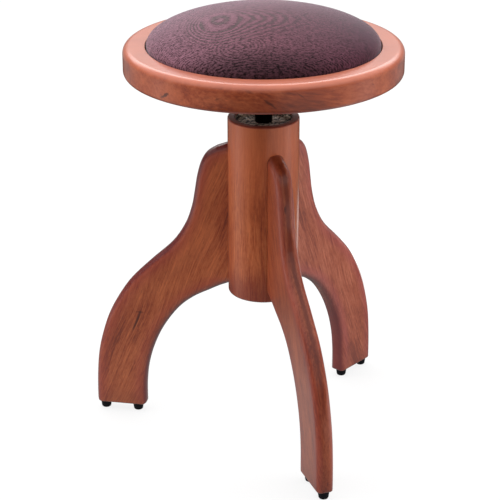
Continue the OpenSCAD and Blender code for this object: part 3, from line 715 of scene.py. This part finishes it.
class STOOL_OT_legs(Operator):
    """Saw out one leg, round its edges over and copy it round the column"""
    bl_idname = "stool.legs"
    bl_label = "Legs"

    def execute(self, context):
        r, reach, floor = COLUMN_HIGH.x, -LEG_LOW.y, LEG_LOW.z
        heel, back = reach - FOOT_LENGTH, r - HOUSING_DEPTH
        outer, inner = (
            smooth_line([(r + a * (end - r), floor + b * (top - floor)) for a, b in shares], 5)
            for shares, end, top in ((OUTER_SHARES, reach, HOUSING_HIGH), (INNER_SHARES, heel, HOUSING_LOW)))
        outline = [(back, HOUSING_LOW), (r, HOUSING_LOW), *inner, (heel, floor), (reach, floor), *outer,
                   (r, HOUSING_HIGH), (back, HOUSING_HIGH)]
        half = (LEG_HIGH.x - LEG_LOW.x) / 2
        points = [(-half, -y, z) for y, z in outline]
        leg = start("plank_leg", points[0])
        draw(points)
        bpy.ops.mesh.select_all(action="SELECT")
        bpy.ops.mesh.edge_face_add()
        bpy.ops.mesh.extrude_region_move(TRANSFORM_OT_translate={"value": (2 * half, 0, 0)})
        face_out(leg)
        self.round_over(leg, context.scene.stool_wood, half, back, floor)
        self.lay_grid(leg, 7 * MM)
        leg.modifiers.new("Flat sides", "WEIGHTED_NORMAL")
        apply_all(leg)
        for name, turn in LEG_TURNS.items():
            tone, edge, marks, painted_shade = LEG_LOOKS[name]
            self.paint_edge_shade(leg, (outer, inner), *painted_shade)
            piece = copied(leg, "plank_" + name, turn)
            shift = (0.02 * turn / 120 + 0.11, 0.37 + 0.3 * turn / 120, 0.1)
            # Each leg's tone is painted light and shade on one wood, and the band toward the foot is painted
            # shade
            dress(piece, stained_wood(
                "stained wood, " + name.replace("_", " "), turn, (GRAIN_LEAN, 0, 0), shift, tone, bold=1.25,
                speck=1.35, marks=marks, shades=((40, 12, 0.25, (0.090, 0.007, 0.007)),), edge=edge),
                "base", [name])
        bpy.data.objects.remove(leg)
        return {"FINISHED"}

    def round_over(self, leg, wood, half, back, floor):
        """Rounds the leg's edges: in full at the column, where it fills a round-ended housing, then easing
        off to the long edges' own rounding, and less at the foot."""
        full = half - 0.3 * MM
        r, easing, foot_corner, hidden, near = COLUMN_HIGH.x, 26 * MM, 4.5 * MM, 0.8 * MM, 0.1 * MM
        weight = leg.data.attributes.new("bevel_weight_edge", "FLOAT", "EDGE")
        for edge in leg.data.edges:
            a, b = (leg.data.vertices[i].co for i in edge.vertices)
            y, z = -(a.y + b.y) / 2, (a.z + b.z) / 2
            if abs(a.x - b.x) > half:
                rounding = foot_corner if abs(z - floor) < near else 0
            elif abs(y - back) < near:
                rounding = hidden
            elif abs(z - floor) < near:
                rounding = wood.foot_edge
            else:
                rounding = full + (wood.leg_edge - full) * min(1.0, max(0.0, (y - r) / easing))
            weight.data[edge.index].value = rounding / full
        bevel = leg.modifiers.new("Rounding", "BEVEL")
        bevel.limit_method = "WEIGHT"
        bevel.width = full
        bevel.segments = 7
        bevel.use_clamp_overlap = False
        bpy.ops.object.shade_smooth()
        apply_all(leg)

    def lay_grid(self, leg, pitch):
        """Cuts the leg by level and upright planes, so that its sides can hold a change of stain."""
        low, high = leg.bound_box[0], leg.bound_box[6]
        choose(leg)
        bpy.ops.object.mode_set(mode="EDIT")
        for axis in (1, 2):
            for i in range(1, int((high[axis] - low[axis]) / pitch)):
                at, way = [0, 0, 0], [0, 0, 0]
                at[axis], way[axis] = low[axis] + i * pitch, 1
                bpy.ops.mesh.select_all(action="SELECT")
                bpy.ops.mesh.bisect(plane_co=at, plane_no=way)
        choose(leg)

    def paint_edge_shade(self, leg, lines, core, flank, arch):
        """Writes how dark the painted shade is along the edges of a leg, and how red the wood is beside them.
        """
        trees = []
        for line in lines:
            fine = [a.lerp(b, k / 8) for a, b in zip(line, line[1:]) for k in range(8)]
            tree = KDTree(len(fine))
            for i, p in enumerate(fine):
                tree.insert((p.x, p.y, 0), i)
            tree.balance()
            trees.append(tree)
        painted_shade, blush = point_values(leg, "painted_shade", "blush")
        for v in leg.data.vertices:
            outer, inner = (tree.find((-v.co.y, v.co.z, 0))[2] for tree in trees)
            x, z = abs(v.co.x) / MM, v.co.z / MM
            if outer < inner:
                # Painted shade along the middle of the outer edge
                line = (0.35 + 0.5 * ease(z, 60, 220)) * (1 - ease(x, core, core + 3))
                # Painted shade on the leg's top by the column, under the seat
                shoulder = 0.8 * ease(z, 358, 370)
                dark = max(line, shoulder, flank * (1 - ease(x, 5, 9)))
            else:
                # Painted shade on the inner edge near the foot
                foot = 0.85 * (1 - ease(z, 90, 150))
                dark = max(arch, foot) * (1 - ease(x, 6.5, 10))
            painted_shade[v.index].value = dark
            blush[v.index].value = ease(x, 3, 7) * (1 - ease(min(outer, inner) / MM, 9, 20))


class STOOL_OT_pads(Operator):
    """Turn one tapered foot pad and put it under each leg"""
    bl_idname = "stool.pads"
    bl_label = "Foot pads"

    def execute(self, context):
        low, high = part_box("foot_front_outer")
        top, h = (high.x - low.x) / 2, high.z
        base, bore = 6 * MM, 1.6 * MM
        pad = turned("foot_pad", [
            (bore, 5 * MM), *beside(0, 0, (3.6, 5), (3.6, 0.4), (4, 0)),
            *beside(base, 0, (-1.9, 0), (-1.1, 0.25), (-0.45, 0.8), (0, 1.9)),
            (base + 0.6 * (top - base), 0.6 * h),
            *beside(top, h, (-0.1, -1.2), (0, -0.7), (-0.2, -0.2), (-0.6, 0)), (bore, h)], 48)
        black = rubber("black rubber")
        for leg in ("front", "left", "right"):
            for side, reach in (("outer", 206 * MM), ("inner", 163.5 * MM)):
                piece = copied(pad, f"pad_{leg}_{side}", LEG_TURNS["leg_" + leg], (0, -reach, 0))
                dress(piece, black, "base", [f"foot_{leg}_{side}"])
        bpy.data.objects.remove(pad)
        return {"FINISHED"}


def cross_head(name, profile, z, width, depth):
    """A screw turned from a profile, with a cross recess in the face at z."""
    screw = turned(name, profile, 32)
    for turn in (0, math.pi / 2):
        rest()
        bpy.ops.mesh.primitive_cube_add(size=1, location=(0, 0, 0))
        tool = bpy.context.object
        size = Matrix.Diagonal((width, 0.19 * width, 2 * depth, 1))
        tool.data.transform(Matrix.Translation((0, 0, z)) @ Matrix.Rotation(turn, 4, "Z") @ size)
        cut(screw, tool)
    shade(screw, 35)
    return screw


def ring_of(piece, name, count, radius, first, body, material, node):
    """Zinc-plated copies on a circle, from the angle first, in degrees. The first one stands for the node."""
    copies = [copied(piece, f"{name}_{i + 1}", first + 360 * i / count, (radius, 0, 0)) for i in range(count)]
    bpy.data.objects.remove(piece)
    for other in copies:
        dress(other, material, body, [node] if other is copies[0] else ())


class STOOL_OT_nut(Operator):
    """Finish the cast nut in the column's recess, the thin collar round it and its four cross-head screws"""
    bl_idname = "stool.nut"
    bl_label = "Nut and its screws"

    def execute(self, context):
        metals = context.scene.stool_metal
        cast = speckled("cast zinc", metals.cast)
        finish_node("flange_nut", cast)
        outside, inside, crown = 33.9 * MM, 33.2 * MM, COLUMN_HIGH.z - 1.7 * MM
        foot = NUT_TOP + 0.05 * MM
        collar = turned("recess_collar", [
            (inside, foot), (outside, foot), *beside(outside, crown, (0, -0.2), (-0.2, 0)),
            *beside(inside, crown, (0.2, 0), (0, -0.2)), (inside, foot)])
        shade(collar, 40)
        dress(collar, cast, "base")
        head, shank, dome = 4.2, 2.1, 0.5
        screw = cross_head("nut_screw", beside(
            0, NUT_TOP, (0, -25), (shank, -24), (shank, -2.3), (head, -0.25), (head - 0.1, -0.05),
            (0.6 * head, 0.35), (0, dome)), NUT_TOP + dome * MM, 4.6 * MM, 1.4 * MM)
        zinc = metal("zinc plate", metals.zinc, 0.32)
        ring_of(screw, "nut_screw", 4, 26 * MM, 45, "base", zinc, "nut_screws")
        return {"FINISHED"}


class STOOL_OT_spindle(Operator):
    """Turn the spindle: its smooth collar, its thread and the journal below"""
    bl_idname = "stool.spindle"
    bl_label = "Spindle"

    def execute(self, context):
        metals = context.scene.stool_metal
        collar, crest, root, journal = 10.7 * MM, 10 * MM, 7.6 * MM, 6 * MM
        pitch, low, high = 5 * MM, 296.5 * MM, 401.3 * MM
        top, bottom = SPINDLE_HIGH.z, SPINDLE_LOW.z
        rod = turned("spindle_collar", [
            (0, high), *beside(collar, high, (-0.8, 0), (-0.25, 0.2), (0, 0.8)),
            *beside(collar, top, (0, -0.6), (-0.6, 0)), (0, top)])
        shade(rod, 40)
        flank = crest - 0.15 * MM
        shares = ((root, -1), (root, -0.66), (flank, -0.50), (crest, -0.46), (crest, -0.20), (flank, -0.16),
                  (root, 0))
        thread = self.thread([(r, 0, low + share * pitch) for r, share in shares], pitch, low, high)
        foot = turned("spindle_journal", [
            (0, bottom), *beside(journal, bottom, (-0.5, 0), (0, 0.5)), (journal, low), (0, low)], 48)
        shade(foot, 40)
        dress(rod, metal("black steel", metals.black, 0.34, wear=0.4), "seat", ["spindle"])
        worn = metal("worn black steel", [5 * c for c in metals.black], 0.27, wear=0.5)
        dress(thread, worn, "seat")
        dress(foot, worn, "seat")
        return {"FINISHED"}

    def thread(self, points, pitch, low, high):
        """Winds one turn's profile up the spindle, and cuts it off at both ends."""
        thread = start("spindle_thread", points[0])
        draw(points)
        choose(thread)
        screw = thread.modifiers.new("Thread", "SCREW")
        screw.angle = math.tau
        screw.screw_offset = pitch
        screw.iterations = math.ceil((high - low) / pitch) + 1
        screw.steps = screw.render_steps = 48
        screw.use_merge_vertices = True
        screw.merge_threshold = 0.01 * MM
        apply_all(thread)
        bpy.ops.object.mode_set(mode="EDIT")
        for z, up in ((low, 1), (high + 0.4 * MM, -1)):
            bpy.ops.mesh.select_all(action="SELECT")
            bpy.ops.mesh.bisect(plane_co=(0, 0, z), plane_no=(0, 0, up), use_fill=True, clear_inner=True)
        face_out(thread)
        shade(thread, 30)
        return thread


class STOOL_OT_ring(Operator):
    """Turn the wooden ring round the seat"""
    bl_idname = "stool.ring"
    bl_label = "Seat ring"

    def execute(self, context):
        wood = context.scene.stool_wood
        r, low, top = RING_HIGH.x, RING_LOW.z, RING_HIGH.z
        board, wall, web_in = 134.4 * MM, 138.7 * MM, 120 * MM
        web_low, web_top = BOARD_HIGH.z, BOARD_HIGH.z + 8 * MM
        foot, over, lip, hold = 5 * MM, 8 * MM, 0.6 * MM, 0.7 * MM
        ring = turned("turned_ring", [
            (web_in, web_low), (board, web_low), *beside(board, low, (0, 0.3), (0.3, 0)),
            *corner((r, low), foot, -90, hold, 8), *corner((r, top), over, 0, hold, 12),
            *corner((wall, top), lip, 90, hold, 5), (wall, web_top), (web_in, web_top)], 240)
        shade(ring, 40)
        marks = (
            ((-145.5, -78, 472.5), (11, 7, 2.6), (0, -32, -62), 0.85),
            ((-50, -157, 476), (13, 7, 1.8), (0, 36, 0), 0.75),
            ((-18, -164, 485), (12, 7, 1.3), (0, 38, 0), 0.5),
            ((-72, -148, 490), (9, 7, 2.2), (0, 15, 0), 0.45),
            ((-100, -131, 480), (12, 8, 1.5), (0, -30, 0), 0.35),
            # This large soft patch is painted shade on the side of the ring that faces the camera
            ((-57, -160, 470), (120, 60, 22), (0, 0, -20), 0.34))
        # Bands: painted shade on the ring's lower rounding, plain wood on its bottom face, and a painted
        # highlight that makes its top paler. tone is painted light and shade too.
        shades = ((466.5, 463.6, 0.85, (0.42, 0.034, 0.008)), (463.5, 463.1, 0.75, wood.middle),
                  (488, 494.5, 0.70, (0.64, 0.200, 0.125)))
        dress(ring, stained_wood(
            "stained wood, ring", tilt=(0, 78, 0), shift=(0.31, 0.05, 0.2), tone=(1.02, 0.96, 0.85), bold=1.5,
            speck=0.45, marks=marks, shades=shades), "seat", ["seat_ring"])
        return {"FINISHED"}


class STOOL_OT_cushion(Operator):
    """Sew the domed cushion: a crowned cover over its foam, filled by a short cloth simulation"""
    bl_idname = "stool.cushion"
    bl_label = "Cushion"

    def execute(self, context):
        settings = context.scene.stool_cushion
        r, rim = COVER_HIGH.x - settings.tuck, RING_HIGH.z
        brow = rim + 0.4 * MM
        squares = 72
        pad = self.dome(r, brow, COVER_HIGH.z, squares)
        self.sew_side(r, rim, brow, squares)
        face_out(pad)
        self.fill(context, pad, rim, settings.swell)
        choose(pad)
        finer = pad.modifiers.new("Smooth", "SUBSURF")
        finer.levels = finer.render_levels = 1
        apply_all(pad)
        shade(pad, 60)
        dress(pad, ribbed_cloth("ribbed cloth"), "seat", ["pad_cover", "pad_foam"])
        return {"FINISHED"}

    def dome(self, r, brow, top, squares):
        """A grid drawn out to a circle and raised to the cushion's crown."""
        full, steep = 0.92, 1.75
        rest()
        bpy.ops.mesh.primitive_grid_add(
            x_subdivisions=squares, y_subdivisions=squares, size=2, location=(0, 0, 0))
        pad = bpy.context.object
        pad.name = pad.data.name = "cushion"
        for v in pad.data.vertices:
            u, w = v.co.x, v.co.y
            x, y = u * math.sqrt(1 - w * w / 2), w * math.sqrt(1 - u * u / 2)
            share = min(1.0, math.hypot(x, y))
            spread = math.sin(share * math.pi / 2) ** full / share if share > 1e-6 else math.pi / 2
            rise = math.sqrt(max(0.0, 1 - (share * spread) ** steep)) if share < 1 else 0.0
            v.co = (r * x * spread, r * y * spread, brow + (top - brow) * rise)
        choose(pad)
        return pad

    def sew_side(self, r, rim, brow, squares):
        """Draws the dome's edge down inside the ring, under the foam and up again, and closes it."""
        low, hem, wall, board = COVER_LOW.z, 110 * MM, 1.2 * MM, 493.6 * MM
        bpy.ops.object.mode_set(mode="EDIT")
        bpy.ops.mesh.select_mode(type="EDGE")
        bpy.ops.mesh.select_all(action="DESELECT")
        bpy.ops.mesh.select_non_manifold()
        side = [*beside(r, rim, (-0.1, -0.8), (-0.2, -2.2)),
                *beside(r, low, (-0.2, 2.2), (-1.0, 0.6), (-2.4, 0.02)), (hem, low + 0.02 * MM),
                (hem, low + wall), *beside(r, low + wall, (-1.8, 0), (-1.4, 0.4)),
                *beside(r, board, (-1.4, 0), (-8, 0))]
        held_r, held_z = r, brow
        for radius, z in side:
            bpy.ops.mesh.extrude_edges_move(TRANSFORM_OT_translate={"value": (0, 0, z - held_z)})
            bpy.ops.transform.resize(value=(radius / held_r, radius / held_r, 1), center_override=(0, 0, z))
            held_r, held_z = radius, z
        bpy.ops.mesh.fill_grid(span=squares)
        bpy.ops.mesh.select_mode(type="VERT")

    def fill(self, context, pad, rim, most):
        """Blows the cover up a little under its own tension, with its side held fast."""
        before = [v.co.copy() for v in pad.data.vertices]
        held = pad.vertex_groups.new(name="held")
        held.add([v.index for v in pad.data.vertices if v.co.z < rim + 1 * MM], 1.0, "REPLACE")
        cloth = pad.modifiers.new("Cloth", "CLOTH")
        cloth.settings.vertex_group_mass = "held"
        cloth.settings.quality = 6
        cloth.settings.tension_stiffness = cloth.settings.compression_stiffness = 30
        cloth.settings.use_pressure = True
        cloth.settings.uniform_pressure_force = 4
        cloth.settings.effector_weights.gravity = 0
        first, last = 1, 20
        cloth.point_cache.frame_start, cloth.point_cache.frame_end = first, last
        for step in range(first, last + 1):
            context.scene.frame_set(step)
        context.view_layer.update()
        apply_all(pad)
        context.scene.frame_set(first)
        for v, home in zip(pad.data.vertices, before):
            move = v.co - home
            if move.length > most:
                v.co = home + move * (most / move.length)
        pad.vertex_groups.clear()


class STOOL_OT_plate(Operator):
    """Finish the seat plate, its bolts and the screws under the seat"""
    bl_idname = "stool.plate"
    bl_label = "Seat plate and screws"

    def execute(self, context):
        metals = context.scene.stool_metal
        finish_node("seat_plate", metal("cast iron", (0.032, 0.030, 0.029), 0.6, wear=0.35, grit=0.8))
        zinc = metal("zinc bolts", metals.zinc, 0.34)
        flange = 5 * MM
        z, head, shank, dome = PLATE_TOP - flange, 6, 3, 3.4
        bolt = cross_head("plate_bolt", beside(
            0, z, (0, -dome), (0.5 * head, -3.15), (0.85 * head, -2.3), (head, -1), (head, 0), (shank, 0),
            (shank, 19.5), (shank - 0.5, 20), (0, 20)), z - dome * MM, 6.4 * MM, 2.0 * MM)
        ring_of(bolt, "plate_bolt", 4, 58 * MM, 45, "seat", zinc, "plate_bolts")
        z, head, shank = BOARD_LOW.z, 4, 2
        screw = cross_head("board_screw", beside(
            0, z, (0, 0), (head - 0.15, 0), (head, 0.15), (shank, 2), (shank, 18.5), (0, 19.7)),
            z, 4.4 * MM, 1.3 * MM)
        ring_of(screw, "board_screw", 6, 129 * MM, 30, "seat", zinc, "board_screws")
        return {"FINISHED"}


class STOOL_OT_inner(Operator):
    """Finish the parts inside: the guide, washers, pins, boards, dowels and staples"""
    bl_idname = "stool.inner"
    bl_label = "Inner parts"

    def execute(self, context):
        zinc = metal("zinc fittings", context.scene.stool_metal.zinc, 0.36)
        for node in ("guide_washers", "end_screw", "spindle_pin", "tee_nuts", "pad_screws", "cover_staples",
                     "foot_screws"):
            finish_node(node, zinc)
        finish_node("spindle_guide", plastic("guide plastic", (0.70, 0.66, 0.55)))
        ply = plain_wood("reddish plywood", (0.27, 0.115, 0.062), (18, 420, 900))
        finish_node("seat_board", ply)
        finish_node("pad_board", ply)
        finish_node("leg_dowels", plain_wood("dowel wood", (0.50, 0.33, 0.185), (12, 500, 500)))
        finish_node("pad_foam", foam("foam"))
        return {"FINISHED"}


class STOOL_OT_stage(Operator):
    """Set up the white floor, the soft studio light and the camera"""
    bl_idname = "stool.stage"
    bl_label = "Stage"

    def execute(self, context):
        settings = context.scene.stool_stage
        rest()
        bpy.ops.mesh.primitive_plane_add(size=60, location=(0, 0, 0))
        floor = bpy.context.object
        floor.name = floor.data.name = "studio_floor"
        floor.data.materials.append(self.floor_material(settings.shade, settings.azimuth))
        self.world(context.scene, settings.azimuth)
        self.lamps(settings.azimuth)
        self.camera(context.scene, settings)
        context.scene.view_settings.view_transform = "Standard"
        return {"FINISHED"}

    def floor_material(self, share, azimuth):
        """White to the camera, but for a faint shadow, and clear to it from below. Its paint grows darker
        toward the camera and behind the stool. In reflections it is dim there too, but for a bright spot and
        bright sides."""
        material = bpy.data.materials.new("white floor")
        material.use_nodes = True
        nodes = Nodes(material.node_tree)
        nodes.tree.nodes.remove(nodes.tree.nodes["Principled BSDF"])
        place = nodes.add("TexCoord").outputs["Object"]
        front = nodes.vector("DOT_PRODUCT", place, (-math.sin(azimuth), -math.cos(azimuth), 0))
        right = nodes.vector("DOT_PRODUCT", place, (math.cos(azimuth), -math.sin(azimuth), 0))
        path = nodes.add("LightPath").outputs
        direct = nodes.most(path["Is Camera Ray"], path["Is Transmission Ray"])
        tone = nodes.span(front, 0.0, 0.7, 0.42, 0.08)
        dim = nodes.times(tone, nodes.span(front, -0.35, 0.0, 0.04, 1.0))
        spot = nodes.squares(nodes.plus(front, 0.56), nodes.plus(right, -0.27))
        bright = nodes.span(spot, 0.005, 0.05, 1.6, 0.0)
        wide = nodes.span(nodes.math("ABSOLUTE", right), 0.6, 1.0, 0.0, 0.32)
        beside_right = nodes.times(nodes.span(right, 0.15, 0.5, 0.0, 0.5), nodes.span(front, -0.2, 0.1))
        glow = nodes.plus(bright, nodes.most(wide, beside_right))
        sheet = nodes.most(direct, nodes.plus(dim, glow))
        paint = nodes.most(direct, nodes.times(tone, nodes.span(front, -0.35, 0.0, 0.22, 0.45)))
        lit = nodes.add("BsdfDiffuse", {"Color": nodes.mix(paint, (0, 0, 0), (0.86, 0.86, 0.86))})
        white = nodes.add("Emission", {"Color": (1, 1, 1, 1), "Strength": sheet})
        clear = nodes.add("BsdfTransparent")
        seen = nodes.most(direct, path["Is Glossy Ray"])
        seen = nodes.times(seen, 1 - share)
        top = nodes.add("MixShader", {0: seen, 1: lit.outputs[0], 2: white.outputs[0]})
        below = nodes.times(nodes.add("NewGeometry").outputs["Backfacing"], path["Is Camera Ray"])
        whole = nodes.add("MixShader", {0: below, 1: top.outputs[0], 2: clear.outputs[0]})
        nodes.put(nodes.tree.nodes["Material Output"].inputs["Surface"], whole.outputs[0])
        return material

    def world(self, scene, azimuth):
        """White to the camera. As light, a soft tent, brighter above and dimmer behind the camera. In
        reflections, bright high up behind the stool and faint elsewhere."""
        world = scene.world or bpy.data.worlds.new("Studio")
        scene.world = world
        world.use_nodes = True
        world.node_tree.nodes.clear()
        nodes = Nodes(world.node_tree)
        way = nodes.add("TexCoord").outputs["Generated"]
        front = nodes.vector("DOT_PRODUCT", way, (-math.sin(azimuth), -math.cos(azimuth), 0))
        height = nodes.axes(way)[2]
        path = nodes.add("LightPath").outputs
        open_side = nodes.span(front, 0.1, 0.9, 1.0, 0.5)
        seen_side = nodes.span(front, -0.88, -0.5, 1.0, 0.12)
        tent = nodes.times(nodes.span(height, 0.02, 0.50, 0.40, 1.55), open_side)
        sheen = nodes.times(nodes.span(height, 0.29, 0.41, 0.10, 2.7), seen_side)
        light = nodes.between(path["Is Glossy Ray"], tent, sheen)
        seen = nodes.most(path["Is Camera Ray"], path["Is Transmission Ray"])
        glow = nodes.add("Background", {"Color": (1, 1, 1, 1), "Strength": nodes.between(seen, light, 1.0)})
        nodes.add("OutputWorld", {"Surface": glow.outputs[0]})

    def lamps(self, azimuth):
        """Soft lamps round the stool. side is a lamp's angle from the camera, in degrees."""
        middle = Vector((0, 0, 0.3))
        for name, side, reach, height, size, power in (
                ("Left softbox", -88, 2.1, 0.60, 1.3, 21),
                ("Right softbox", 92, 2.1, 0.60, 1.3, 23),
                ("Front fill", 0, 2.6, 0.35, 1.0, 9),
                ("Top softbox", -150, 0.6, 2.1, 1.2, 7)):
            rest()
            way = math.radians(side) - azimuth
            at = Vector((reach * math.sin(way), -reach * math.cos(way), height))
            aim = (middle - at).to_track_quat("-Z", "Y").to_euler()
            bpy.ops.object.light_add(type="AREA", location=at, rotation=aim)
            lamp = bpy.context.object
            lamp.name = lamp.data.name = name
            lamp.data.size = size
            lamp.data.energy = power
            lamp.visible_glossy = False

    def camera(self, scene, settings):
        """A camera at the photograph's place. focal is in pixels of a picture that is image pixels wide."""
        yaw, roll, focal, image, sensor = -0.00831, -0.0020, 1744.25, 500, 36
        at = Matrix.Rotation(-settings.azimuth, 3, "Z") @ Vector((0, -settings.distance, settings.height))
        aim = (Matrix.Rotation(-settings.azimuth - yaw, 3, "Z")
               @ Matrix.Rotation(math.pi / 2 - settings.tilt, 3, "X")
               @ Matrix.Rotation(roll, 3, "Z")).to_euler()
        rest()
        bpy.ops.object.camera_add(location=at, rotation=aim)
        camera = bpy.context.object
        camera.name = camera.data.name = "Camera"
        camera.data.sensor_width = sensor
        camera.data.lens = focal * sensor / image
        camera.data.clip_start, camera.data.clip_end = 0.05, 60
        scene.camera = camera


class STOOL_PT_panel(Panel):
    """Lists the stool's pieces"""
    bl_idname = "STOOL_PT_panel"
    bl_label = "Piano stool"
    bl_space_type = "VIEW_3D"
    bl_region_type = "UI"
    bl_category = "Stool"

    def draw(self, context):
        for group in GROUPS:
            settings = getattr(context.scene, group)
            box = self.layout.box()
            for name in settings.bl_rna.properties.keys():
                if name not in ("rna_type", "name"):
                    box.prop(settings, name)
        for operator in OPERATORS:
            self.layout.operator(operator.bl_idname)


GROUPS = {"stool_wood": WoodSettings, "stool_cushion": CushionSettings, "stool_metal": MetalSettings,
          "stool_stage": StageSettings}
OPERATORS = (STOOL_OT_stage, STOOL_OT_column, STOOL_OT_legs, STOOL_OT_pads, STOOL_OT_nut, STOOL_OT_spindle,
             STOOL_OT_ring, STOOL_OT_cushion, STOOL_OT_plate, STOOL_OT_inner)


def register():
    for item in (*GROUPS.values(), *OPERATORS, STOOL_PT_panel):
        bpy.utils.register_class(item)
    for name, group in GROUPS.items():
        setattr(bpy.types.Scene, name, PointerProperty(type=group))


def unregister():
    for name in GROUPS:
        delattr(bpy.types.Scene, name)
    for item in reversed((*GROUPS.values(), *OPERATORS, STOOL_PT_panel)):
        bpy.utils.unregister_class(item)


def main():
    register()
    bpy.ops.stool.stage()
    bpy.ops.stool.column()
    bpy.ops.stool.legs()
    bpy.ops.stool.pads()
    bpy.ops.stool.nut()
    bpy.ops.stool.spindle()
    bpy.ops.stool.ring()
    bpy.ops.stool.cushion()
    bpy.ops.stool.plate()
    bpy.ops.stool.inner()
    rest()
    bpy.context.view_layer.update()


if __name__ == "__main__":
    main()
